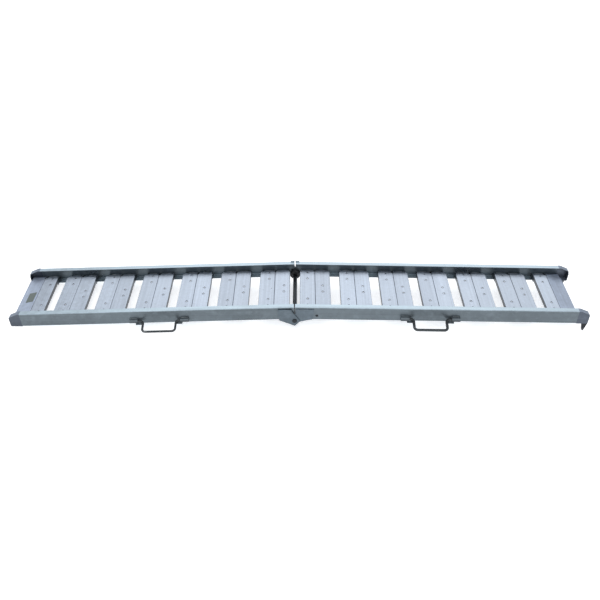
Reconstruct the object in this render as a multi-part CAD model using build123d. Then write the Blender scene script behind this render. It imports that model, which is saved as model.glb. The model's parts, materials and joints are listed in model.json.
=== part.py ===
from build123d import *
import math
import os

# Folding loading ramp for a dog: two channel sections with sheet-steel treads, joined by a
# hinge rod below the rails. Millimetres and degrees.
#
# Each section is modelled flat, along its own "out" direction (+X), with the hinge axis on Y
# at the origin and Z upwards. place() then turns it to its side, tilts it and moves it to the
# part's own frame: origin at the bottom centre of the bounding box, +X along the ramp.

# ---- overall ----
WIDTH = 285.0                 # across the outer faces of the rails
ARCH = 3.1                    # the angle by which the open ramp is bent at the hinge
PIN_DROP = 3.0                # hinge axis below the underside of the rails

# ---- rails: C channels, open to the inside ----
RAIL_HEIGHT = 55.0
RAIL_SHEET = 2.0
TOP_FLANGE = 20.0
BOTTOM_FLANGE = 24.0
RAIL_BEND = 3.0               # outer radius of the two bends
RAIL_START = 0.6              # web end to hinge axis
MITRE_OUT, MITRE_IN = 1.0, 17.0
FLANGE_CUTBACK = 24.0         # bottom flange left out beside the hinge rod
ROD_NOTCH = 10.5              # radius of the notch in the web round the rod

# ---- treads: pairs of inverted channels between the rails ----
PAIRS = 7
PITCH = 151.2
TREAD_WIDTH = 57.0
LAST_WIDTH, LIP_WIDTH = 49.5, 60.0   # the last tread with holes, and the lip beyond it
TREAD_SEAM = 0.5
TREAD_HEIGHT = 31.0           # of the feet at both ends, which stand on the flanges
SIDE_HEIGHT = 17.0            # of the walls between the feet
TREAD_SHEET = 1.5
TREAD_BEND = 2.0
FIRST_EDGE = 18.4             # first tread's edge to the hinge axis
CREASE = 105.5                # half the flat length, where the end tongues begin to slope
TONGUE_END = 139.5
TONGUE_DROP = 17.0
TONGUE_INSET = 4.0            # a tongue is this much narrower on each side
LIP_DROP = 12.0               # fall of the last tread towards the end of the ramp
LIP_FOOT_RAISE = 2.0          # its walls stop short, over the end shoe's thicker floor
HOLE_RADIUS = 3.25
COLLAR_FOOT, COLLAR_TOP, COLLAR_HEIGHT = 6.0, 4.2, 1.5
END_HOLES = (-98.0, -62.0, 62.0, 98.0)
MIDDLE_HOLES = (-18.5, 18.5)
LOWER_HOLE_SHIFT = -7.0       # the lower section's rows lie off the middle of their treads

# ---- hinge ----
ROD_RADIUS = 8.0
PLATE_SHEET = 3.0
PLATE_GAP = 0.5               # between the plates of the two sections
RELIEF = 0.3                  # upper plate stands off the lower rail by this much
RELIEF_RADIUS = 35.0
FIXED_CLEARANCE, RUNNING_CLEARANCE = 0.02, 0.06
ROD_HEAD_RADIUS, ROD_HEAD_LENGTH = 8.8, 3.0
GUARD_RADIUS, GUARD_LENGTH, GUARD_RISE = 19.5, 13.0, 2.5
LUG_LENGTH, LUG_HEIGHT, LUG_SHEET, LUG_GAP = 15.0, 6.0, 3.0, 0.15
LOW_LUG_SHEET, LOW_LUG_HEIGHT = 6.0, 12.0
LOWER_PLATE = ((59, 50.5), (56, 4.5), (0, -23.5), (-20, -2.2), (8.8, 44), (9, 50.5))
UPPER_PLATE = (
    (70, 50.5), (66, 6), (50, 2.5), (20, -5.5), (6, -18), (-6, -18), (-15, -2), (4, 36), (4.5, 50.5)
)
PACKER = ((58, 49), (55.6, 9.5), (31, 9.5), (31, 49))
PLATE_CORNER = 3.0

# ---- ends ----
LOWER_END, UPPER_END = 1040.0, 1068.0
SHOE_LENGTH = 42.0
SHOE_SLOPE_RUN, SHOE_SLOPE_DROP = 34.0, 14.0
FACET_LENGTH = 40.0           # flat under the lower end, where it stands on the ground
HOOK_OUT, HOOK_TOP, HOOK_DROP, HOOK_SHEET = 1058.0, 20.0, 33.0, 8.0
HOOK_TIP_RADIUS = 3.0
HOOK_INSET = 5.5              # middle of the hook to the rail's outer face

# ---- carrying handles ----
HANDLE_OUT = 491.5            # middle of the handle to the hinge axis
HANDLE_HEIGHT = 15.5          # pivot above the underside of the rail
HANDLE_LEAN = 75.0            # from hanging straight down, at rest on its stops
HANDLE_ARM = 47.0
HANDLE_WIDTH = 119.0          # between the centres of the arms
HANDLE_BEND = 12.0
SOCKET_LENGTH, SOCKET_SPAN, SOCKET_WALL = 30.0, 215.0, 3.0
SOCKET_CLEARANCE = 0.05
HANDLE_SHIFT = -2.0           # the handles sit a little towards the hinge in their sockets
STUB_MARGIN = 6.0             # a handle's ends stop this far inside the sockets' outer ends
STOP_SHEET = 2.5              # stop finger under each arm
STOP_FROM, STOP_TO = 3.0, 12.0
LOWER_ROD, UPPER_ROD = 4.0, 5.0

# ---- label ----
LABEL_LENGTH, LABEL_WIDTH, LABEL_SHEET = 56.0, 29.0, 0.6
LABEL_OUT, LABEL_ACROSS = 998.0, -9.0

HALF_WIDTH = WIDTH / 2
WEB_INSIDE = HALF_WIDTH - RAIL_SHEET
RAIL_TOP = PIN_DROP + RAIL_HEIGHT
TREAD_FOOT = PIN_DROP + RAIL_SHEET
TREAD_TOP = TREAD_FOOT + TREAD_HEIGHT
INNER_PLATE = HALF_WIDTH                                     # inner face, upper plate
OUTER_PLATE = HALF_WIDTH + PLATE_SHEET + PLATE_GAP           # inner face, lower plate


def tilts():
    """Tilt of each section so that the lower end's flat and the hooks' tips stand level."""
    arch = math.radians(ARCH)
    flat_out, flat_z = LOWER_END - FACET_LENGTH, PIN_DROP
    tip_out, tip_z = HOOK_OUT, PIN_DROP - HOOK_DROP + HOOK_TIP_RADIUS
    along = flat_out + tip_out * math.cos(arch) + tip_z * math.sin(arch)
    across = flat_z + tip_out * math.sin(arch) - tip_z * math.cos(arch)
    lower = math.atan2(across, along) + math.asin(HOOK_TIP_RADIUS / math.hypot(across, along))
    return math.degrees(lower), ARCH - math.degrees(lower)


LOWER_TILT, UPPER_TILT = tilts()


# ---------------------------------------------------------------- small helpers
def box(x, y, z):
    """Box from its (low, high) pairs."""
    size = [high - low for low, high in (x, y, z)]
    centre = [(low + high) / 2 for low, high in (x, y, z)]
    return Pos(*centre) * Box(*size)


def side_prism(outline, y_low, y_high):
    """An outline drawn in the side view (X, Z), carried from y_low to y_high."""
    face = Plane.XZ * outline
    return Pos(0, y_high, 0) * extrude(face, y_high - y_low, dir=(0, -1, 0))


def rounded(outline, corners, radius):
    """Rounds the named corners of a flat outline."""
    picked = [
        vertex
        for vertex in outline.vertices()
        if any(math.dist((vertex.X, vertex.Y), corner) < 0.01 for corner in corners)
    ]
    return fillet(picked, radius)


def edges_along(solid, axis, spots):
    """Edges parallel to an axis whose other two coordinates match one of the spots."""
    found = []
    for edge in solid.edges().filter_by(axis):
        centre = edge.center()
        seen = (centre.Y, centre.Z) if axis == Axis.X else (centre.X, centre.Z)
        if any(math.dist(seen, spot) < 0.01 for spot in spots):
            found.append(edge)
    return found


def across_rod(radius, y_low, y_high):
    """Cylinder on the hinge axis."""
    middle = (y_low + y_high) / 2
    return Pos(0, middle, 0) * Rot(90, 0, 0) * Cylinder(radius, y_high - y_low)


def near(solid):
    """The mirror image for the rail at negative Y."""
    return mirror(solid, about=Plane.XZ)


# ---------------------------------------------------------------- rails and ends
def rail(end):
    """C channel at positive Y, cut away round the hinge rod."""
    profile = Polygon(
        (HALF_WIDTH - BOTTOM_FLANGE, PIN_DROP),
        (HALF_WIDTH, PIN_DROP),
        (HALF_WIDTH, RAIL_TOP),
        (HALF_WIDTH - TOP_FLANGE, RAIL_TOP),
        (HALF_WIDTH - TOP_FLANGE, RAIL_TOP - RAIL_SHEET),
        (WEB_INSIDE, RAIL_TOP - RAIL_SHEET),
        (WEB_INSIDE, PIN_DROP + RAIL_SHEET),
        (HALF_WIDTH - BOTTOM_FLANGE, PIN_DROP + RAIL_SHEET),
        align=None,
    )
    profile = rounded(profile, [(HALF_WIDTH, PIN_DROP), (HALF_WIDTH, RAIL_TOP)], RAIL_BEND)
    inner = [(WEB_INSIDE, PIN_DROP + RAIL_SHEET), (WEB_INSIDE, RAIL_TOP - RAIL_SHEET)]
    profile = rounded(profile, inner, RAIL_BEND - RAIL_SHEET)
    channel = extrude(Plane.YZ * profile, end - SHOE_LENGTH - RAIL_START, dir=(1, 0, 0))
    channel = Pos(RAIL_START, 0, 0) * channel
    mitre = Polygon(
        (0, HALF_WIDTH + 1),
        (MITRE_OUT, HALF_WIDTH - RAIL_BEND),
        (MITRE_IN, HALF_WIDTH - TOP_FLANGE - 1),
        (0, HALF_WIDTH - TOP_FLANGE - 1),
        align=None,
    )
    channel -= Pos(0, 0, RAIL_TOP - RAIL_BEND) * extrude(mitre, 2 * RAIL_BEND)
    channel -= box(
        (0, FLANGE_CUTBACK),
        (HALF_WIDTH - BOTTOM_FLANGE - 1, WEB_INSIDE),
        (PIN_DROP - 1, TREAD_FOOT + 1),
    )
    return channel - across_rod(ROD_NOTCH, WEB_INSIDE - RAIL_BEND, HALF_WIDTH + 1)


def end_shoe(end, foot_slope):
    """Pressed end piece at positive Y: closes the channel and slopes down to its end."""
    start = end - SHOE_LENGTH
    foot_rise = FACET_LENGTH * math.tan(math.radians(foot_slope))
    points = [
        (start, PIN_DROP),
        (end - FACET_LENGTH, PIN_DROP),
        (end, PIN_DROP + foot_rise),
        (end, RAIL_TOP - SHOE_SLOPE_DROP),
        (end - SHOE_SLOPE_RUN, RAIL_TOP),
        (start, RAIL_TOP),
    ]
    outline = rounded(Polygon(*points, align=None), [points[3]], 7)
    outline = rounded(outline, [points[2]], 4)
    outline = rounded(outline, [points[4]], 12)
    hollow = offset(outline, amount=-RAIL_SHEET)
    shell = side_prism(outline, HALF_WIDTH - BOTTOM_FLANGE, HALF_WIDTH)
    cut = side_prism(hollow, HALF_WIDTH - BOTTOM_FLANGE - 1, WEB_INSIDE)
    mouth = box(
        (start - 1, start + RAIL_SHEET + 1),
        (HALF_WIDTH - BOTTOM_FLANGE - 1, WEB_INSIDE),
        (PIN_DROP + RAIL_SHEET, RAIL_TOP - RAIL_SHEET),
    )
    trim = box(
        (start - 1, end + 1),
        (HALF_WIDTH - BOTTOM_FLANGE - 1, HALF_WIDTH - TOP_FLANGE),
        (RAIL_TOP - SHOE_SLOPE_DROP - 8, RAIL_TOP + 1),
    )
    return shell - cut - mouth - trim


def hook():
    """Triangular lug under the upper rail at positive Y; its tip stands on the ground."""
    low = PIN_DROP - HOOK_DROP
    half = HOOK_TOP / 2
    tip = (HOOK_OUT, low + HOOK_TIP_RADIUS)
    lug = make_hull(
        (
            Pos(*tip) * Circle(HOOK_TIP_RADIUS)
            + Pos(HOOK_OUT, PIN_DROP - 1) * Rectangle(2 * half, 2)
        ).edges()
    )
    middle = HALF_WIDTH - HOOK_INSET
    body = side_prism(lug, middle - HOOK_SHEET / 2, middle + HOOK_SHEET / 2)
    pad = box(
        (HOOK_OUT - half, HOOK_OUT + half),
        (HALF_WIDTH - BOTTOM_FLANGE + 2, HALF_WIDTH - 1),
        (PIN_DROP - 3, PIN_DROP),
    )
    return body + pad


# ---------------------------------------------------------------- treads
def tread(out, holes, hole_shift=0.0, width=TREAD_WIDTH, drop=0.0):
    """Inverted channel with sloping end tongues, its inner edge at distance out."""
    def form(inset):
        """Outer form, or with an inset the space inside the sheet."""
        top = TREAD_TOP - inset
        foot = TREAD_FOOT + (LIP_FOOT_RAISE if drop else 0) - (1 if inset else 0)
        side_foot = TREAD_TOP - SIDE_HEIGHT - (1 if inset else 0)
        middle = box(
            (out + inset, out + width - inset), (-CREASE, CREASE), (side_foot, top)
        )
        if not inset:
            ridge = edges_along(
                middle, Axis.Y, [(out, top), (out + width, top)]
            )
            middle = fillet(ridge, TREAD_BEND)
        side = TONGUE_INSET + inset
        run = TONGUE_END - CREASE
        overlap = 4.0
        tongue = Polygon(
            (CREASE - overlap, foot),
            (TONGUE_END + (1 if inset else 0), foot),
            (TONGUE_END + (1 if inset else 0), top - TONGUE_DROP * (1 + (1 / run if inset else 0))),
            (CREASE - inset * TONGUE_DROP / run / 2, top),
            (CREASE - overlap, top),
            align=None,
        )
        end = extrude(Plane.YZ * tongue, width - 2 * side, dir=(1, 0, 0))
        end = Pos(out + side, 0, 0) * end
        solid = middle + end + near(end)
        if drop:
            fall = Polygon(
                (out - 1, 0),
                (out + width + 1, 0),
                (out + width + 1, top - drop * (1 + 1 / width)),
                (out - 1, top + drop / width),
                align=None,
            )
            solid = solid & side_prism(fall, -HALF_WIDTH, HALF_WIDTH)
        return solid

    solid = form(0.0) - form(TREAD_SHEET)
    for y in holes:
        collar = Cone(COLLAR_FOOT, COLLAR_TOP, COLLAR_HEIGHT + 0.5)
        solid += Pos(out + width / 2 + hole_shift, y, TREAD_TOP + COLLAR_HEIGHT / 2 - 0.25) * collar
    for y in holes:
        solid -= Pos(out + width / 2 + hole_shift, y, TREAD_TOP) * Cylinder(HOLE_RADIUS, 10)
    return solid


def treads(inner_holes, outer_holes, hole_shift):
    """The treads of one section, from the hinge outwards; the last one is the plain lip."""
    made = []
    for pair in range(PAIRS):
        out = FIRST_EDGE + pair * PITCH
        last = pair == PAIRS - 1
        if last:
            made.append(tread(out, END_HOLES, hole_shift, LAST_WIDTH))
            made.append(tread(out + LAST_WIDTH + TREAD_SEAM, (), 0.0, LIP_WIDTH, LIP_DROP))
        else:
            made.append(tread(out, inner_holes, hole_shift))
            made.append(tread(out + TREAD_WIDTH + TREAD_SEAM, outer_holes, hole_shift))
    return made


def blank_label():
    """Thin plate without any print on the lower section's lip."""
    lip = FIRST_EDGE + (PAIRS - 1) * PITCH + LAST_WIDTH + TREAD_SEAM
    slope = math.degrees(math.atan(LIP_DROP / LIP_WIDTH))
    height = TREAD_TOP - (LABEL_OUT - lip) * LIP_DROP / LIP_WIDTH
    plate = Pos(0, 0, LABEL_SHEET / 2) * Box(LABEL_WIDTH, LABEL_LENGTH, LABEL_SHEET)
    return Pos(LABEL_OUT, LABEL_ACROSS, height) * Rot(0, slope, 0) * plate


# ---------------------------------------------------------------- hinge
def hinge_plate(corners, inner_face, clearance):
    """Flat plate at positive Y with the rod hole."""
    outline = Polygon(*corners, align=None)
    outline = rounded(outline, corners, PLATE_CORNER)
    plate = side_prism(outline, inner_face, inner_face + PLATE_SHEET)
    return plate - across_rod(ROD_RADIUS + clearance, inner_face - 1, inner_face + 4)


def lower_plate():
    """Lower section's plate, in the outer plane."""
    return hinge_plate(LOWER_PLATE, OUTER_PLATE, FIXED_CLEARANCE)


def lower_packer():
    """Packing plate that carries the lower plate past the upper one."""
    return side_prism(Polygon(*PACKER, align=None), HALF_WIDTH, OUTER_PLATE)


def upper_plate():
    """Upper section's plate, on the rail, eased where it passes the lower rail."""
    plate = hinge_plate(UPPER_PLATE, INNER_PLATE, RUNNING_CLEARANCE)
    return plate - across_rod(RELIEF_RADIUS, INNER_PLATE - 1, INNER_PLATE + RELIEF)


def stop_lugs():
    """Lugs of one section, which butt on the other's and hold the arch.

    The far one stands on the rail's top; the near one is hidden under the flange.
    """
    high = box(
        (LUG_GAP, LUG_LENGTH),
        (HALF_WIDTH - RAIL_BEND - LUG_SHEET, HALF_WIDTH - RAIL_BEND),
        (RAIL_TOP, RAIL_TOP + LUG_HEIGHT),
    )
    corner = edges_along(high, Axis.Y, [(LUG_LENGTH, RAIL_TOP + LUG_HEIGHT)])
    roof = RAIL_TOP - 2 * RAIL_SHEET
    low = box(
        (LUG_GAP, LUG_LENGTH),
        (-WEB_INSIDE, -WEB_INSIDE + LOW_LUG_SHEET),
        (roof - LOW_LUG_HEIGHT, roof),
    )
    return [fillet(corner, LUG_HEIGHT / 2), low]


def hinge_rod():
    """Rod across the ramp with a head at the near side."""
    reach = OUTER_PLATE + PLATE_SHEET
    rod = across_rod(ROD_RADIUS, -reach, reach + 3)
    head = across_rod(ROD_HEAD_RADIUS, -reach - ROD_HEAD_LENGTH, -reach)
    rims = head.edges().filter_by(GeomType.CIRCLE).sort_by(Axis.Y)
    return rod + chamfer(rims[0], 1.2)


def hinge_cap():
    """Push-on cap at the rod's far end."""
    reach = OUTER_PLATE + PLATE_SHEET
    cap = across_rod(ROD_HEAD_RADIUS + 2, reach, reach + 6)
    rims = cap.edges().filter_by(GeomType.CIRCLE).sort_by(Axis.Y)
    cap = chamfer(rims[-1], 2)
    return cap - across_rod(ROD_RADIUS + FIXED_CLEARANCE, reach - 1, reach + 3.02)


def guard():
    """Moulded disc on the rod inside the rail at positive Y, set a little above the axis."""
    face = WEB_INSIDE - RELIEF
    disc = across_rod(GUARD_RADIUS, face - GUARD_LENGTH, face)
    disc = Pos(0, 0, GUARD_RISE) * chamfer(disc.edges().filter_by(GeomType.CIRCLE), 1)
    return disc - across_rod(ROD_RADIUS + FIXED_CLEARANCE, 0, HALF_WIDTH)


def rail_rivet():
    """Round-headed rivet in the upper rail's web beside the hinge plate."""
    spot = (80.0, 18.0 + PIN_DROP)
    head = Rot(-90, 0, 0) * Cone(5.0, 3.0, 2.5)
    return Pos(spot[0], HALF_WIDTH + 1.25, spot[1]) * head


# ---------------------------------------------------------------- handles
def handle_axis_y(rod_radius):
    """The near rail carries the handles, so this is negative."""
    return -(HALF_WIDTH + rod_radius + SOCKET_WALL)


def handle(rod_radius):
    """Bent-rod handle, leaning out on its stops."""
    arm = HANDLE_WIDTH / 2
    end = SOCKET_SPAN / 2 - STUB_MARGIN
    route = FilletPolyline(
        (-end, 0),
        (-arm, 0),
        (-arm, -HANDLE_ARM),
        (arm, -HANDLE_ARM),
        (arm, 0),
        (end, 0),
        radius=HANDLE_BEND,
    )
    route = Plane.XZ * route
    start = Plane(origin=route @ 0, z_dir=route % 0)
    rod = sweep(start * Circle(rod_radius), path=route)
    spot = Pos(HANDLE_OUT + HANDLE_SHIFT, handle_axis_y(rod_radius), PIN_DROP + HANDLE_HEIGHT)
    return spot * Rot(-HANDLE_LEAN, 0, 0) * rod


def handle_sockets(rod_radius):
    """Two tubes on the near rail with a stop finger under each arm of the handle."""
    radius = rod_radius + SOCKET_WALL
    axis_y = handle_axis_y(rod_radius)
    axis_z = PIN_DROP + HANDLE_HEIGHT
    sockets = []
    for side in (-1, 1):
        outer = HANDLE_OUT + side * SOCKET_SPAN / 2
        inner = outer - side * SOCKET_LENGTH
        span = sorted((outer, inner))
        on_axis = Pos(sum(span) / 2, axis_y, axis_z) * Rot(0, 90, 0)
        tube = on_axis * Cylinder(radius, SOCKET_LENGTH)
        foot = box(span, (axis_y, -HALF_WIDTH), (axis_z - radius, axis_z + radius))
        reach = HANDLE_OUT + HANDLE_SHIFT + side * (HANDLE_WIDTH / 2 + rod_radius / 2)
        under = rod_radius + RELIEF
        finger = box(
            sorted((inner + side * SOCKET_LENGTH / 4, reach)),
            (under, under + STOP_SHEET),
            (-STOP_TO, -STOP_FROM),
        )
        finger = Pos(0, axis_y, axis_z) * Rot(-HANDLE_LEAN, 0, 0) * finger
        bore = on_axis * Cylinder(rod_radius + SOCKET_CLEARANCE, SOCKET_LENGTH + 2)
        sockets.append(tube + foot + finger - bore)
    return sockets


# ---------------------------------------------------------------- assembly
def lower_place(solid):
    """From the flat drawing to the lower section, which runs towards -X."""
    return Rot(0, -LOWER_TILT, 0) * mirror(solid, about=Plane.YZ)


def upper_place(solid):
    """From the flat drawing to the upper section, which runs towards +X."""
    return Rot(0, UPPER_TILT, 0) * solid


def both_sides(name, solid):
    """The far piece as drawn and its mirror image at the near side."""
    return {f"{name}_near": near(solid), f"{name}_far": solid}


def lower_section():
    """Every piece of the section that stands on the ground, and the hinge rod."""
    pieces = {}
    pieces.update(both_sides("lower_rail", rail(LOWER_END)))
    pieces.update(both_sides("lower_end_shoe", end_shoe(LOWER_END, LOWER_TILT)))
    pieces.update(both_sides("lower_hinge_plate", lower_plate()))
    pieces.update(both_sides("lower_hinge_packer", lower_packer()))
    pieces.update(both_sides("hinge_guard", guard()))
    pieces["lower_stop_lugs"] = stop_lugs()
    for number, piece in enumerate(treads(MIDDLE_HOLES, END_HOLES, LOWER_HOLE_SHIFT), 1):
        pieces[f"lower_tread_{number:02d}"] = piece
    pieces["lower_handle_sockets"] = handle_sockets(LOWER_ROD)
    pieces["blank_label"] = blank_label()
    pieces["hinge_rod"] = hinge_rod()
    pieces["hinge_cap"] = hinge_cap()
    pieces["lower_handle"] = handle(LOWER_ROD)
    return pieces


def upper_section():
    """Every piece of the section that rests on the vehicle."""
    pieces = {}
    pieces.update(both_sides("upper_rail", rail(UPPER_END)))
    pieces.update(both_sides("upper_end_shoe", end_shoe(UPPER_END, 0.0)))
    pieces.update(both_sides("upper_hinge_plate", upper_plate()))
    pieces.update(both_sides("upper_hook", hook()))
    pieces["upper_stop_lugs"] = stop_lugs()
    pieces["upper_rail_rivets"] = [rail_rivet(), near(rail_rivet())]
    for number, piece in enumerate(treads(END_HOLES, MIDDLE_HOLES, 0.0), 1):
        pieces[f"upper_tread_{number:02d}"] = piece
    pieces["upper_handle_sockets"] = handle_sockets(UPPER_ROD)
    pieces["upper_handle"] = handle(UPPER_ROD)
    return pieces


def assembled():
    """All nodes in the part's frame, and the hinge axis's place in it."""
    nodes = {}
    for place, pieces in ((lower_place, lower_section()), (upper_place, upper_section())):
        for name, piece in pieces.items():
            solids = piece if isinstance(piece, list) else [piece]
            nodes[name] = Compound([place(solid).solid() for solid in solids])
    whole = Compound(list(nodes.values())).bounding_box()
    origin = Vector(whole.center().X, whole.center().Y, whole.min.Z)
    return {name: Pos(*-origin) * shape for name, shape in nodes.items()}, -origin


def main():
    nodes, hinge = assembled()
    os.makedirs("parts", exist_ok=True)
    for name, shape in nodes.items():
        export_step(shape, f"parts/{name}.step")
    print("hinge axis at", tuple(round(value, 3) for value in hinge))
    print("tilts", round(LOWER_TILT, 4), round(UPPER_TILT, 4), "nodes", len(nodes))


if __name__ == "__main__":
    main()
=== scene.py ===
import json
import logging
import math
from dataclasses import dataclass, field
from enum import Enum

import bmesh
import bpy
import numpy as np
from mathutils import Matrix, Vector

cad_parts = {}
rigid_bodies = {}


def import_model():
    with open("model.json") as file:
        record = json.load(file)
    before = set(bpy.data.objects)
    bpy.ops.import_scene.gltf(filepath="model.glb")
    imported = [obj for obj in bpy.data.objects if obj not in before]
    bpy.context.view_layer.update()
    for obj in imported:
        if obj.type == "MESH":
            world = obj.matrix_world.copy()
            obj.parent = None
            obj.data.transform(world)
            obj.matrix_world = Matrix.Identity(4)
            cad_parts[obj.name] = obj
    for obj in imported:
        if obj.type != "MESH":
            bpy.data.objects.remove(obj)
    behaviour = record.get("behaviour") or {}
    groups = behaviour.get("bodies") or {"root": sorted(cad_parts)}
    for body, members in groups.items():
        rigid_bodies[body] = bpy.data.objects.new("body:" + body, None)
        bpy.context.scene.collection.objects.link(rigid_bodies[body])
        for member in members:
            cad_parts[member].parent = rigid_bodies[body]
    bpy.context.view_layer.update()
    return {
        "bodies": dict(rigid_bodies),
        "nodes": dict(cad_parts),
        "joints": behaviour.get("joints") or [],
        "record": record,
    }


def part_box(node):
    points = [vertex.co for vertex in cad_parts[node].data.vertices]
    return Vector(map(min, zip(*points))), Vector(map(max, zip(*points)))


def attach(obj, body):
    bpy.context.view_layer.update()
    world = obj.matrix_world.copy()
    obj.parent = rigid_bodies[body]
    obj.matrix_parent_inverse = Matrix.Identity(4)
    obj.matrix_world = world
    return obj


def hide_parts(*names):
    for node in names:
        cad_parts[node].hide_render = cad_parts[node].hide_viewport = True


LOG = logging.getLogger("folding_ramp")
MM = 0.001
Colour = tuple[float, float, float]
Triple = tuple[float, float, float]
FRAME: dict = {}


class Half(Enum):
    """The two sections of the ramp, and the way each runs from the hinge along X."""

    LOWER = -1
    UPPER = 1

    @property
    def word(self) -> str:
        """The section's word in the names of nodes and bodies."""
        return self.name.lower()


# Bars of the two handles, in millimetres: 0.01 under the CAD's, to stay inside its box.
BAR_RADIUS = {Half.LOWER: 3.99, Half.UPPER: 4.99}


class Rolling(Enum):
    """How many times finer than a metre the rolling streaks lie along X, Y and Z."""

    ALONG = (1.3, 160.0, 160.0)
    ACROSS = (160.0, 2.6, 160.0)
    PLAIN = (22.0, 22.0, 22.0)


# ------------------------------------------------------------------ surfaces
@dataclass
class Surface:
    """One mesh, grown from grids of points."""

    points: list[np.ndarray] = field(default_factory=list)
    quads: list[np.ndarray] = field(default_factory=list)
    count: int = 0

    def grid(self, rows: np.ndarray, wrap_rows: bool = False, wrap_columns: bool = False) -> None:
        """Adds a grid of points, joined by four-sided faces.

        Args:
            rows: Points in metres, of shape (rows, columns, 3).
            wrap_rows: Join the last row to the first.
            wrap_columns: Join the last column to the first.
        """
        tall, wide = rows.shape[:2]
        index = np.arange(tall * wide).reshape(tall, wide) + self.count
        if wrap_rows:
            index = np.vstack([index, index[:1]])
        if wrap_columns:
            index = np.hstack([index, index[:, :1]])
        corners = (index[:-1, :-1], index[1:, :-1], index[1:, 1:], index[:-1, 1:])
        self.quads.append(np.stack(corners, -1).reshape(-1, 4))
        self.points.append(rows.reshape(-1, 3))
        self.count += tall * wide

    def make(self, name: str, material: bpy.types.Material, crease: float = 40.0) -> bpy.types.Object:
        """Turns the grids into one object at the origin, its poles merged and faces outwards.

        Args:
            name: Name of the object.
            material: Its only material.
            crease: Edges bent by more degrees than this stay sharp.

        Returns:
            The new object, linked to the scene.
        """
        mesh = bpy.data.meshes.new(name)
        mesh.from_pydata(np.concatenate(self.points), [], np.concatenate(self.quads).tolist())
        tidy = bmesh.new()
        tidy.from_mesh(mesh)
        bmesh.ops.remove_doubles(tidy, verts=tidy.verts, dist=2e-6)
        bmesh.ops.recalc_face_normals(tidy, faces=tidy.faces)
        tidy.to_mesh(mesh)
        tidy.free()
        mesh.polygons.foreach_set("use_smooth", np.ones(len(mesh.polygons), bool))
        mesh.set_sharp_from_angle(angle=math.radians(crease))
        mesh.materials.append(material)
        piece = bpy.data.objects.new(name, mesh)
        bpy.context.scene.collection.objects.link(piece)
        return piece


def unit(vectors: np.ndarray) -> np.ndarray:
    """Vectors divided by their own lengths."""
    return vectors / np.maximum(np.linalg.norm(vectors, axis=-1, keepdims=True), 1e-12)


def rounded_route(corners: np.ndarray, radius: float, steps: int = 10) -> np.ndarray:
    """A run of straight lines whose corners are arcs.

    An arc begins radius / tan(half the corner's angle) before the corner, and its point at the
    turn a is centre + (start - centre) cos a + (direction of travel) radius sin a.

    Args:
        corners: Points of shape (n, 3).
        radius: Radius of every arc.
        steps: Faces along one arc.

    Returns:
        Points along the route, of shape (m, 3).
    """
    runs = [corners[:1]]
    for before, here, after in zip(corners, corners[1:], corners[2:]):
        back, on = unit(before - here), unit(after - here)
        half = math.acos(float(np.clip(back @ on, -1, 1))) / 2
        start = here + back * radius / math.tan(half)
        centre = here + unit(back + on) * radius / math.sin(half)
        turn = np.linspace(0, math.pi - 2 * half, steps + 1)[:, None]
        runs.append(centre + (start - centre) * np.cos(turn) - back * radius * np.sin(turn))
    return np.concatenate([*runs, corners[-1:]])


def tube(path: np.ndarray, normal: np.ndarray, radius: np.ndarray | float, around: int = 20) -> np.ndarray:
    """A round tube along a flat path, closed at both ends.

    The point at place s and turn a is path(s) + radius(s) (cos a * side(s) + sin a * normal),
    where side is square to both the path and the normal.

    Args:
        path: Points of shape (n, 3).
        normal: Unit vector square to the path.
        radius: One radius, or one for each point.
        around: Faces round the tube.

    Returns:
        Rows of points, of shape (n + 2, around, 3); the first and last row are single points.
    """
    steps = unit(np.diff(path, axis=0))
    ahead = unit(np.concatenate([steps[:1], steps[:-1] + steps[1:], steps[-1:]]))
    side = unit(np.cross(normal, ahead))
    radius = np.broadcast_to(np.asarray(radius, float), len(path))
    turn = np.linspace(0, 2 * math.pi, around, endpoint=False)[None, :, None]
    ring = np.cos(turn) * side[:, None] + np.sin(turn) * normal
    rows = path[:, None] + radius[:, None, None] * ring
    caps = [np.repeat(path[end][None, None], around, axis=1) for end in (0, -1)]
    return np.concatenate([caps[0], rows, caps[1]])


def bead(start: Triple, end: Triple, radius: float, pitch: float = 2.2) -> np.ndarray:
    """A weld bead: a tube whose radius ripples along it and falls to nothing at its ends.

    At the share u of its length the radius is R (1 + 0.13 cos(2 pi length / pitch)) times the
    fourth root of 1 - (2u - 1)^8.

    Args:
        start: One end, in millimetres of the flat drawing.
        end: The other end.
        radius: Radius of the bead.
        pitch: Length of one ripple.

    Returns:
        Rows of points of the closed tube, in the flat drawing.
    """
    first, last = np.array(start, float), np.array(end, float)
    length = float(np.linalg.norm(last - first))
    share = np.linspace(0, 1, max(13, int(4 * length / pitch) + 1))
    ripple = 1 + 0.13 * np.cos(2 * math.pi * share * length / pitch)
    swell = radius * ripple * np.maximum(1 - (2 * share - 1) ** 8, 0.02) ** 0.25
    ahead = unit(last - first)
    normal = unit(np.cross(ahead, (0.31, 0.17, 0.93)))
    return tube(first + share[:, None] * (last - first), normal, swell, 8)


@dataclass(frozen=True)
class Section:
    """One half of the ramp, drawn flat: out from the hinge axis, across, and up.

    Attributes:
        half: Which half it is.
        tilt: Fall of the section away from the hinge, in radians.
        hinge: A point of the hinge axis, in metres.
    """

    half: Half
    tilt: float
    hinge: Triple

    @property
    def body(self) -> str:
        """Name of the moving body."""
        return f"{self.half.word}_section"

    def place(self, flat: np.ndarray) -> np.ndarray:
        """From millimetres of the flat drawing to metres of the ramp.

        x is the half's sign times (out cos t + up sin t), and z is up cos t - out sin t.
        """
        out, across, up = np.moveaxis(np.asarray(flat, float) * MM, -1, 0)
        cos, sin = math.cos(self.tilt), math.sin(self.tilt)
        turned = (self.half.value * (out * cos + up * sin), across, up * cos - out * sin)
        return np.stack(turned, -1) + np.array(self.hinge)


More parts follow.
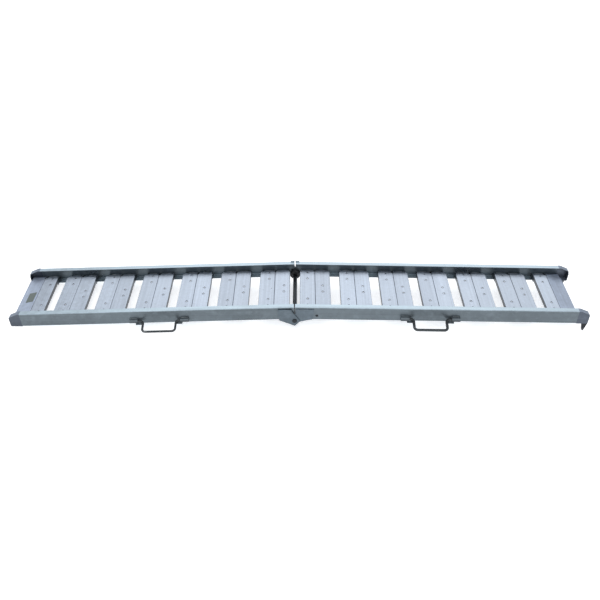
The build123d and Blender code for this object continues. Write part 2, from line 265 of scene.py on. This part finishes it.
# ------------------------------------------------------------------ finishes
class Graph:
    """A material's node tree in short words."""

    def __init__(self, name: str) -> None:
        """Makes an empty material with a Principled shader in it."""
        self.material = bpy.data.materials.new(name)
        self.material.use_nodes = True
        self.tree = self.material.node_tree
        self.shader = self.tree.nodes["Principled BSDF"]
        self.coords = self.node("ShaderNodeTexCoord")

    def node(self, kind: str, inputs: dict | None = None, **settings: object) -> bpy.types.Node:
        """Adds a node.

        Args:
            kind: Blender's name of the node's type.
            inputs: Values or sockets for its inputs, by name or place.
            settings: Its other settings.

        Returns:
            The node.
        """
        made = self.tree.nodes.new(kind)
        for key, value in settings.items():
            setattr(made, key, value)
        for key, value in (inputs or {}).items():
            self.feed(made.inputs[key], value)
        return made

    def feed(self, socket: bpy.types.NodeSocket, value: object) -> None:
        """Links a socket to another, or sets its value."""
        if isinstance(value, bpy.types.NodeSocket):
            self.tree.links.new(value, socket)
        else:
            socket.default_value = value

    def noise(self, scale: float, detail: float = 3.0, vector: object = None) -> bpy.types.NodeSocket:
        """Noise between 0 and 1 on the object's own coordinates."""
        vector = vector or self.coords.outputs["Object"]
        settings = {"Vector": vector, "Scale": scale, "Detail": detail}
        return self.node("ShaderNodeTexNoise", settings).outputs["Fac"]

    def span(self, value: object, low: float, high: float, to_low: float, to_high: float) -> object:
        """Carries a value from one range to another, and holds it inside."""
        inputs = {0: value, 1: low, 2: high, 3: to_low, 4: to_high}
        return self.node("ShaderNodeMapRange", inputs).outputs[0]

    def sum(self, first: object, second: object, operation: str = "ADD") -> object:
        """Adds two values, or joins them by another operation."""
        return self.node("ShaderNodeMath", {0: first, 1: second}, operation=operation).outputs[0]

    def product(self, first: object, second: object) -> object:
        """Multiplies two values."""
        return self.sum(first, second, "MULTIPLY")

    def scaled(self, vector: object, factor: object) -> object:
        """Multiplies a vector or colour by one factor."""
        return self.node("ShaderNodeVectorMath", {0: vector, "Scale": factor}, operation="SCALE").outputs[0]

    def mix(self, first: object, second: object, share: object) -> object:
        """Mixes two colours by a share of the second."""
        inputs = {0: share, 6: first, 7: second}
        return self.node("ShaderNodeMix", inputs, data_type="RGBA").outputs[2]

    def stretched(self, scale: Triple) -> bpy.types.NodeSocket:
        """Object coordinates multiplied by three factors."""
        inputs = {"Vector": self.coords.outputs["Object"], "Scale": scale}
        return self.node("ShaderNodeMapping", inputs).outputs[0]

    def bump(self, height: object, depth: float) -> None:
        """Bumps the surface by a height from 0 to 1, times a depth in metres."""
        made = self.node("ShaderNodeBump", {"Height": height, "Distance": depth, "Strength": 1.0})
        self.feed(self.shader.inputs["Normal"], made.outputs[0])


@dataclass(frozen=True)
class Zinc:
    """Hot-dip galvanised sheet: crystal spangle, rolling streaks, clouds and pale bloom, with painted shade
    that darkens the faces standing upright.

    Attributes:
        name: Name of the material.
        tint: Colour of the metal.
        metallic: Share of bare metal against dull patina.
        roughness: Middle of the roughness.
        spangle: Width of a crystal, in metres.
        rolling: Direction of the streaks.
        flank: Painted shade: the tone of faces that stand upright, against 1 for the level ones, darker for
            how the light falls on them.
        bloom: Strength of the pale spots of old zinc.
    """

    name: str
    tint: Colour
    metallic: float = 0.7
    roughness: float = 0.38
    spangle: float = 0.011
    rolling: Rolling = Rolling.ALONG
    flank: float = 1.0
    bloom: float = 0.25

    def make(self) -> bpy.types.Material:
        """Builds the material.

        Returns:
            Its tone is the product of clouds, the crystals' own greys, streaks and painted shade on upright
            faces; its roughness follows the same crystals, and its bump their faces and a fine grain.
        """
        graph = Graph(self.name)
        own = graph.coords.outputs["Object"]
        warp = graph.node("ShaderNodeTexNoise", {"Vector": own, "Scale": 55.0, "Detail": 2.0})
        shift = graph.scaled(warp.outputs["Color"], 0.008)
        bent = graph.node("ShaderNodeVectorMath", {0: own, 1: shift})
        cells = graph.node("ShaderNodeTexVoronoi", {"Vector": bent.outputs[0], "Scale": 1 / self.spangle})
        grey = graph.node("ShaderNodeSeparateColor", {0: cells.outputs["Color"]}).outputs[0]
        clouds = graph.noise(7.0, 4.0)
        streaks = graph.noise(1.0, 3.0, graph.stretched(self.rolling.value))
        tone = graph.product(graph.span(clouds, 0.25, 0.75, 0.86, 1.10), graph.span(grey, 0, 1, 0.93, 1.07))
        tone = graph.product(tone, graph.span(streaks, 0.3, 0.7, 0.90, 1.08))
        # Painted shade: faces that stand upright are darkened by this factor for how the studio light falls
        # on them, not because the zinc differs there.
        if self.flank != 1.0:
            normal = graph.node("ShaderNodeSeparateXYZ", {0: graph.coords.outputs["Normal"]}).outputs[2]
            level = graph.sum(normal, 0.0, "ABSOLUTE")
            tone = graph.product(tone, graph.span(level, 0.15, 0.85, self.flank, 1.0))
        base = graph.scaled(self.tint, tone)
        spots = graph.span(graph.noise(38.0, 6.0), 0.56, 0.74, 0.0, self.bloom)
        pale = tuple(min(1.0, 1.25 * part + 0.06) for part in self.tint) + (1.0,)
        graph.feed(graph.shader.inputs["Base Color"], graph.mix(base, pale, spots))
        rough = graph.sum(graph.span(grey, 0, 1, -0.05, 0.05), graph.span(clouds, 0.3, 0.7, -0.05, 0.06))
        rough = graph.sum(graph.sum(rough, self.roughness), graph.product(spots, 0.4))
        graph.feed(graph.shader.inputs["Roughness"], rough)
        graph.shader.inputs["Metallic"].default_value = self.metallic
        grain = graph.sum(graph.product(grey, 0.35), graph.product(graph.noise(900.0, 2.0), 0.5))
        graph.bump(graph.sum(grain, graph.product(streaks, 0.6)), 0.00006)
        return graph.material


@dataclass(frozen=True)
class DarkMetal:
    """Bar or plate that is zinc-phosphated or left as rolled, with rubbed spots.

    Attributes:
        name: Name of the material.
        tint: Colour of the coat.
        bare: Colour where it is rubbed.
        roughness: Middle of the roughness.
        rubbed: How much of it is rubbed, from 0 to 1.
    """

    name: str
    tint: Colour
    bare: Colour
    roughness: float = 0.42
    rubbed: float = 0.3

    def make(self) -> bpy.types.Material:
        """Builds the material: a dark coat, paler where a noise passes a threshold."""
        graph = Graph(self.name)
        patches = graph.noise(60.0, 5.0)
        worn = graph.span(patches, 0.68 - 0.2 * self.rubbed, 0.80 - 0.2 * self.rubbed, 0.0, 0.75)
        clouds = graph.span(graph.noise(14.0, 3.0), 0.3, 0.7, 0.75, 1.25)
        coat = graph.scaled(self.tint, clouds)
        graph.feed(graph.shader.inputs["Base Color"], graph.mix(coat, (*self.bare, 1.0), worn))
        rough = graph.sum(self.roughness, graph.product(worn, -0.15))
        graph.feed(graph.shader.inputs["Roughness"], rough)
        graph.shader.inputs["Metallic"].default_value = 0.85
        graph.bump(graph.sum(graph.noise(650.0, 3.0), patches), 0.00005)
        return graph.material


@dataclass(frozen=True)
class Moulded:
    """Moulded plastic with a fine eroded grain.

    Attributes:
        name: Name of the material.
        tint: Its colour.
        roughness: Middle of the roughness.
    """

    name: str
    tint: Colour
    roughness: float = 0.48

    def make(self) -> bpy.types.Material:
        """Builds the material: scuffs lift both tone and roughness over a fine grain."""
        graph = Graph(self.name)
        scuffs = graph.span(graph.noise(120.0, 6.0), 0.52, 0.75, 0.0, 1.0)
        scuffed = tuple(2.4 * part + 0.01 for part in self.tint) + (1.0,)
        graph.feed(graph.shader.inputs["Base Color"], graph.mix((*self.tint, 1.0), scuffed, scuffs))
        rough = graph.span(scuffs, 0, 1, self.roughness, self.roughness + 0.2)
        graph.feed(graph.shader.inputs["Roughness"], rough)
        graph.bump(graph.noise(1500.0, 2.0), 0.00004)
        return graph.material


@dataclass(frozen=True)
class Film:
    """Printed film without print: an even tint, dulled by dust, with a slight orange peel.

    Attributes:
        name: Name of the material.
        tint: Its colour.
    """

    name: str
    tint: Colour

    def make(self) -> bpy.types.Material:
        """Builds the material: dust and yellowing in clouds, over a weak peel."""
        graph = Graph(self.name)
        dust = graph.span(graph.noise(45.0, 5.0), 0.35, 0.7, 0.0, 0.45)
        dusty = tuple(0.7 * part + 0.12 for part in self.tint) + (1.0,)
        graph.feed(graph.shader.inputs["Base Color"], graph.mix((*self.tint, 1.0), dusty, dust))
        graph.feed(graph.shader.inputs["Roughness"], graph.span(dust, 0, 0.45, 0.3, 0.55))
        graph.bump(graph.noise(260.0, 2.0), 0.00008)
        return graph.material


def dress(material: bpy.types.Material, *nodes: str) -> None:
    """Gives CAD nodes a material in place of the plain one they came with."""
    for name in nodes:
        for slot in FRAME["nodes"][name].material_slots:
            slot.material = material


# ------------------------------------------------------------------ sub-assemblies
@dataclass
class Rails:
    """The four channel rails with their end shoes.

    Attributes:
        rail: Finish of the channels.
        shoe: Finish of the thicker end shoes.
    """

    # The 0.28 and 0.36 are painted shade: upright webs and shoe sides are darkened for how the light falls
    # on them.
    rail: Zinc = Zinc("rail_zinc", (0.45, 0.545, 0.615), 0.72, 0.34, 0.013, Rolling.ALONG, 0.28, 0.06)
    shoe: Zinc = Zinc("end_shoe_zinc", (0.235, 0.28, 0.355), 0.7, 0.40, 0.009, Rolling.PLAIN, 0.36, 0.10)

    def build(self) -> None:
        """Dresses the rails and the shoes."""
        channel, shoe = self.rail.make(), self.shoe.make()
        for half in Half:
            for side in ("near", "far"):
                dress(channel, f"{half.word}_rail_{side}")
                dress(shoe, f"{half.word}_end_shoe_{side}")
        LOG.info("rails: 4 channels and 4 end shoes dressed")


@dataclass
class Treads:
    """The rows of folded treads between the rails, and the welds that hold them.

    Attributes:
        tint: Colour of the sheet.
        lip_tint: Colour of the outermost tread of each section: the tread tint made bluer and darker,
            painted shade for the lip's downward slope.
        tones: Tones that the treads take in turn, as sheets from different coils do.
        count: Treads in one section.
        first_edge: First tread's edge to the hinge axis, in millimetres.
        width: Width of a tread.
        pitch: From one pair of treads to the next.
        web: Half the distance between the rails' webs.
        weld_up: Height of the welds over the hinge axis.
        weld_length: Length of one weld.
        weld_radius: Radius of a weld bead.
        weld_inset: How far a weld's middle stands in from the web.
    """

    tint: Colour = (0.47, 0.53, 0.62)
    # Painted shade: the lip's tint is the tread tint made bluer and darker for the light on its sloping
    # face.
    lip_tint: Colour = (0.43, 0.495, 0.615)
    tones: tuple[float, ...] = (1.0, 0.95, 1.03, 0.98, 0.92)
    count: int = 14
    first_edge: float = 18.4
    width: float = 57.5
    pitch: float = 151.2
    web: float = 140.5
    weld_up: float = 18.6
    weld_length: float = 26.0
    weld_radius: float = 1.5
    weld_inset: float = 0.6

    def finishes(self) -> list[bpy.types.Material]:
        """One material for each tone, and at the end the lips' own: a copy of the tread finish in a bluer,
        darker tint that paints the shade of their slope.
        """
        made = []
        for number, tone in enumerate(self.tones):
            tint = tuple(tone * part for part in self.tint)
            # The 0.14 here and the 0.16 of the lip are painted shade: upright side walls and ends are
            # darkened for how the light falls.
            made.append(Zinc(f"tread_zinc_{number}", tint, 0.68, 0.36, 0.010, Rolling.ACROSS, 0.14).make())
        # Painted shade: the lip's finish is a shaded copy of the treads', for the light on its slope.
        made.append(Zinc("lip_zinc", self.lip_tint, 0.68, 0.40, 0.010, Rolling.ACROSS, 0.16).make())
        return made

    def middle(self, number: int) -> float:
        """Distance of a tread's middle from the hinge axis."""
        pair, second = divmod(number, 2)
        return self.first_edge + pair * self.pitch + (second + 0.5) * self.width

    def build(self, sections: list[Section]) -> None:
        """Dresses every tread and welds it to the webs."""
        finishes = self.finishes()
        weld = DarkMetal("tread_weld", (0.20, 0.22, 0.24), (0.45, 0.47, 0.5), 0.45, 0.6).make()
        for section in sections:
            for number in range(self.count):
                lip = number == self.count - 1
                tone = -1 if lip else (number * 3 + (section.half is Half.UPPER)) % len(self.tones)
                dress(finishes[tone], f"{section.half.word}_tread_{number + 1:02d}")
            beads = Surface()
            for number in range(self.count - 1):
                reach = self.weld_length / 2
                for side in (-1, 1):
                    spot = self.middle(number), side * (self.web - self.weld_inset)
                    line = [(spot[0] + step, spot[1], self.weld_up) for step in (-reach, reach)]
                    beads.grid(section.place(bead(*line, self.weld_radius)), wrap_columns=True)
            piece = beads.make(f"{section.half.word}_tread_welds", weld)
            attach(piece, section.body)
            faces = len(piece.data.polygons)
            LOG.info("%s treads: %d dressed, %d faces of weld", section.half.word, self.count, faces)


@dataclass
class Handle:
    """A carrying handle of bent round bar, and its two sockets.

    Attributes:
        section: The section it hangs on.
        radius: Radius of the bar, in millimetres.
        lean: Its lean from hanging straight down, in radians.
        arm: Length of its arms.
        width: Between the middles of its arms.
        bend: Radius of its bends.
        end: Half its length along the pivot.
        shift: Offset of the bar's middle from the sockets' middle.
        socket_span: Across the outer ends of the sockets.
        socket_length: Length of one socket.
        wall: Wall of a socket.
        out: From the hinge axis to the middle between the sockets.
        height: Height of its pivot over the hinge axis.
        web: Half the width over the rails' outer faces.
        chamfer: How much thinner the bar's two ends are in radius.
        weld_radius: Radius of a weld bead.
    """

    section: Section
    radius: float
    lean: float = math.radians(75.0)
    arm: float = 47.0
    width: float = 119.0
    bend: float = 12.0
    end: float = 101.5
    socket_span: float = 215.0
    socket_length: float = 30.0
    wall: float = 3.0
    out: float = 491.5
    shift: float = -2.0
    height: float = 18.5
    web: float = 142.5
    chamfer: float = 0.9
    weld_radius: float = 1.7

    def bar(self, material: bpy.types.Material) -> bpy.types.Object:
        """The bent bar: a round profile carried along the rounded route, its ends chamfered."""
        reach = self.width / 2
        flat = [(-self.end, 0), (-self.end + 1, 0), (-reach, 0), (-reach, -self.arm)]
        flat += [(-x, z) for x, z in reversed(flat)]
        down = np.array((0.0, -math.sin(self.lean), -math.cos(self.lean)))
        along = np.array((1.0, 0.0, 0.0))
        corners = np.array([x * along - z * down for x, z in flat])
        ends, middle = corners[[0, -1]], corners[1:-1]
        path = rounded_route(middle, self.bend, 12)
        radii = np.full(len(path) + 2, self.radius)
        radii[[0, -1]] -= self.chamfer
        path = np.concatenate([ends[:1], path, ends[1:]])
        middle_spot = np.array((self.out + self.shift, -(self.web + self.radius + self.wall), self.height))
        rows = tube(path, unit(np.cross(along, down)), radii, 24) + middle_spot
        surface = Surface()
        surface.grid(self.section.place(rows), wrap_columns=True)
        name = f"{self.section.half.word}_handle"
        piece = surface.make(f"{name}_bar", material)
        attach(piece, name)
        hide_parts(name)
        return piece

    def welds(self, material: bpy.types.Material) -> bpy.types.Object:
        """Beads above and below each socket, where its foot meets the rail."""
        surface = Surface()
        for side in (-1, 1):
            outer = self.out + side * self.socket_span / 2 - side * 2
            inner = outer - side * (self.socket_length - 4)
            for lift in (-1, 1):
                up = self.height + lift * (self.radius + self.wall)
                line = [(out, -self.web - 0.4, up) for out in (outer, inner)]
                surface.grid(self.section.place(bead(*line, self.weld_radius)), wrap_columns=True)
        piece = surface.make(f"{self.section.half.word}_socket_welds", material)
        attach(piece, self.section.body)
        return piece

    def build(self, bar: bpy.types.Material, socket: bpy.types.Material, weld: bpy.types.Material) -> None:
        """Makes the bar and the welds, and dresses the sockets."""
        dress(socket, f"{self.section.half.word}_handle_sockets")
        made = self.bar(bar), self.welds(weld)
        LOG.info("%s handle: %d faces", self.section.half.word, sum(len(p.data.polygons) for p in made))


@dataclass
class Hinge:
    """The plates, the rod and its cap, the guards, the stops, the rivets and the hooks.

    Attributes:
        bore: Radius of the bore in a guard, in metres.
        groove: Depth of the moulded groove in a guard's faces.
        edge: Radius of a guard's rounded edges.
        lug: Finish of the stop lugs.
        plate: Finish of the hinge plates and packing plates.
        rod: Finish of the hinge rod and its cap.
        hook: Finish of the hooks and the rail rivets.
        guard: Finish of the guards: near-black plastic, painted shade that stands for the deep shade inside
            the hinge.
        label: Finish of the blank label.
    """

    bore: float = 0.00806
    groove: float = 0.0009
    edge: float = 0.0016
    # The 0.7 and 0.38 are painted shade: upright faces of lugs and plates are darkened for how the light
    # falls.
    lug: Zinc = Zinc("stop_lug_zinc", (0.62, 0.68, 0.71), 0.7, 0.36, 0.008, Rolling.PLAIN, 0.7, 0.1)
    plate: Zinc = Zinc("hinge_plate_zinc", (0.29, 0.365, 0.43), 0.72, 0.36, 0.009, Rolling.PLAIN, 0.38, 0.12)
    rod: DarkMetal = DarkMetal("rod_oxide", (0.035, 0.040, 0.045), (0.30, 0.31, 0.33), 0.30, 0.3)
    hook: DarkMetal = DarkMetal("hook_oxide", (0.030, 0.033, 0.038), (0.26, 0.27, 0.29), 0.45, 0.4)
    # Painted shade: the guards' near-black tint stands for the deep shade inside the hinge.
    guard: Moulded = Moulded("guard_plastic", (0.012, 0.013, 0.015))
    label: Film = Film("label_film", (0.10, 0.13, 0.12))

    def guard_rows(self, node: str, axis: Vector) -> np.ndarray:
        """The surface of one guard: a disc with rounded edges and an off-centre bore.

        Row by row it is a circle across Y, of its own place and radius, whose middle moves from
        the disc's middle to the bore's as its share of the bore grows; the rows close on
        themselves through the bore.

        Args:
            node: The CAD node, whose box gives the disc.
            axis: A point of the hinge axis.

        Returns:
            Rows of points, in metres.
        """
        low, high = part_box(node)
        radius = (high.x - low.x) / 2
        middle = np.array(((low.x + high.x) / 2, (low.z + high.z) / 2))
        bend = np.linspace(0, math.pi / 2, 6)
        round_in = self.edge * (1 - np.cos(bend))
        round_out = radius - self.edge * (1 - np.sin(bend))
        inner, outer = 0.42 * radius + 0.58 * self.bore, 0.84 * radius
        face = [(0.0006, self.bore, 1.0), (0.0, self.bore + 0.0006, 1.0), (0.0, inner + 0.002, 0.35)]
        face += [(self.groove, inner + 0.0026, 0.3), (self.groove, outer - 0.0006, 0.1), (0.0, outer, 0.06)]
        face += [(float(step), float(ring), 0.0) for step, ring in zip(round_in, round_out)]
        place, ring, share = (np.array(part) for part in zip(*face))
        place = np.concatenate([low.y + place, (high.y - place)[::-1]])[:, None]
        ring, share = (np.concatenate([part, part[::-1]])[:, None] for part in (ring, share))
        turn = np.linspace(0, 2 * math.pi, 72, endpoint=False)[None]
        x = middle[0] + share * (axis.x - middle[0]) + ring * np.cos(turn)
        z = middle[1] + share * (axis.z - middle[1]) + ring * np.sin(turn)
        return np.stack([x, np.broadcast_to(place, x.shape), z], -1)

    def guards(self, axis: Vector) -> None:
        """Moulds both guards, which ride on the lower section with the rod; their near-black plastic is
        painted shade, put where the hinge shows deep shade.
        """
        plastic = self.guard.make()
        for side in ("near", "far"):
            node = f"hinge_guard_{side}"
            surface = Surface()
            surface.grid(self.guard_rows(node, axis), wrap_rows=True, wrap_columns=True)
            piece = surface.make(f"{node}_moulding", plastic, 32.0)
            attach(piece, "lower_section")
            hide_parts(node)

    def build(self, hinge: Triple) -> None:
        """Dresses the metal parts and makes the guards."""
        self.guards(Vector(hinge))
        plate, rod, hook = self.plate.make(), self.rod.make(), self.hook.make()
        for side in ("near", "far"):
            dress(plate, f"lower_hinge_plate_{side}", f"upper_hinge_plate_{side}")
            dress(plate, f"lower_hinge_packer_{side}")
            dress(hook, f"upper_hook_{side}")
        dress(self.lug.make(), "lower_stop_lugs", "upper_stop_lugs")
        dress(hook, "upper_rail_rivets")
        dress(rod, "hinge_rod", "hinge_cap")
        dress(self.label.make(), "blank_label")
        LOG.info("hinge, hooks and label dressed")


# ------------------------------------------------------------------ studio
@dataclass
class Studio:
    """Floor, light and camera.

    Attributes:
        hinge: A point of the hinge axis, from which the camera is measured.
        camera_offset: Camera from the hinge, in metres.
        down: How far the camera looks down, in degrees.
        aside: How far it looks towards +X, in degrees.
        roll: Its roll, in degrees.
        lens: Focal length on a 36 mm sensor, in millimetres.
        floor_tint: Colour of the floor.
        glow: Light that the floor gives off, as the glass of a light table does.
        reach: Half the floor's side, in metres.
        air_tint: Colour of the surroundings.
        air_strength: Their brightness.
    """

    hinge: Triple
    camera_offset: Triple = (0.0103, -2.1326, 1.6824)
    down: float = 38.622
    aside: float = 0.242
    roll: float = 0.577
    lens: float = 42.98
    floor_tint: Colour = (0.93, 0.93, 0.935)
    glow: float = 0.55
    reach: float = 30.0
    air_tint: Colour = (0.96, 0.98, 1.0)
    air_strength: float = 0.80

    def camera(self) -> None:
        """Sets the camera from its look, side and up directions."""
        low, aside, roll = (math.radians(angle) for angle in (self.down, self.aside, self.roll))
        look = Vector((math.sin(aside) * math.cos(low), math.cos(aside) * math.cos(low), -math.sin(low)))
        right = Vector((math.cos(aside), -math.sin(aside), 0.0))
        above = right.cross(look)
        turned = math.cos(roll) * right + math.sin(roll) * above
        above = math.cos(roll) * above - math.sin(roll) * right
        data = bpy.data.cameras.new("ramp_camera")
        data.lens, data.sensor_width, data.clip_end = self.lens, 36.0, 100.0
        camera = bpy.data.objects.new("ramp_camera", data)
        matrix = Matrix((turned, above, -look)).transposed().to_4x4()
        matrix.translation = Vector(self.hinge) + Vector(self.camera_offset)
        camera.matrix_world = matrix
        bpy.context.scene.collection.objects.link(camera)
        bpy.context.scene.camera = camera

    def floor(self) -> None:
        """A wide pale floor under the ramp."""
        surface = Surface()
        sides = (-self.reach, self.reach)
        x, y = np.meshgrid(sides, sides, indexing="ij")
        surface.grid(np.stack([x, y, np.zeros_like(x)], -1))
        graph = Graph("floor_paint")
        tone = graph.span(graph.noise(1.5, 3.0), 0.3, 0.7, 0.99, 1.0)
        graph.feed(graph.shader.inputs["Base Color"], graph.scaled(self.floor_tint, tone))
        graph.shader.inputs["Roughness"].default_value = 0.95
        graph.shader.inputs["Emission Color"].default_value = (1.0, 1.0, 1.0, 1.0)
        graph.shader.inputs["Emission Strength"].default_value = self.glow
        graph.shader.inputs["Specular IOR Level"].default_value = 0.1
        surface.make("studio_floor", graph.material)

    def softbox(self, name: str, spot: Triple, size: tuple[float, float], power: float) -> None:
        """A rectangular light that faces the ramp's middle."""
        data = bpy.data.lights.new(name, "AREA")
        data.shape, data.size, data.size_y, data.energy = "RECTANGLE", *size, power
        light = bpy.data.objects.new(name, data)
        turn = (-Vector(spot)).to_track_quat("-Z", "Y").to_matrix().to_4x4()
        light.matrix_world = Matrix.Translation(spot) @ turn
        light.visible_camera = False
        bpy.context.scene.collection.objects.link(light)

    def build(self) -> None:
        """Puts up the camera, the floor, the lights and the pale surroundings."""
        self.camera()
        self.floor()
        self.softbox("back_softbox", (0.3, 3.4, 2.7), (5.0, 1.8), 30.0)
        self.softbox("top_softbox", (-0.6, -0.4, 3.4), (4.0, 2.5), 14.0)
        self.softbox("front_softbox", (0.2, -3.2, 2.0), (4.5, 1.2), 16.0)
        world = bpy.data.worlds.new("studio_air")
        world.use_nodes = True
        air = world.node_tree.nodes["Background"]
        air.inputs["Color"].default_value = (*self.air_tint, 1.0)
        air.inputs["Strength"].default_value = self.air_strength
        bpy.context.scene.world = world
        bpy.context.scene.view_settings.view_transform = "Standard"
        LOG.info("studio: floor, 3 softboxes and camera")


def main() -> None:
    """Builds every sub-assembly round the frame."""
    logging.basicConfig(level=logging.INFO, format="%(name)s: %(message)s")
    FRAME.update(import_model())
    joints = {joint["name"]: joint for joint in FRAME["joints"]}
    hinge = tuple(joints["fold_hinge"]["pos_m"])
    sections = []
    for half in Half:
        x, _, z = joints[f"{half.word}_handle_swing"]["axis"]
        sections.append(Section(half, abs(math.atan2(z, -x)), hinge))
    Studio(hinge).build()
    Rails().build()
    Treads().build(sections)
    Hinge().build(hinge)
    bar = DarkMetal("handle_zinc", (0.06, 0.066, 0.072), (0.24, 0.25, 0.27), 0.40, 0.3).make()
    # The 0.45 is painted shade: upright faces of the sockets are darkened for how the light falls.
    socket = Zinc("socket_zinc", (0.15, 0.178, 0.20), 0.7, 0.36, 0.008, Rolling.PLAIN, 0.45).make()
    weld = DarkMetal("socket_weld", (0.16, 0.18, 0.19), (0.42, 0.44, 0.46), 0.42, 0.6).make()
    for section in sections:
        Handle(section, BAR_RADIUS[section.half]).build(bar, socket, weld)


if __name__ == "__main__":
    main()
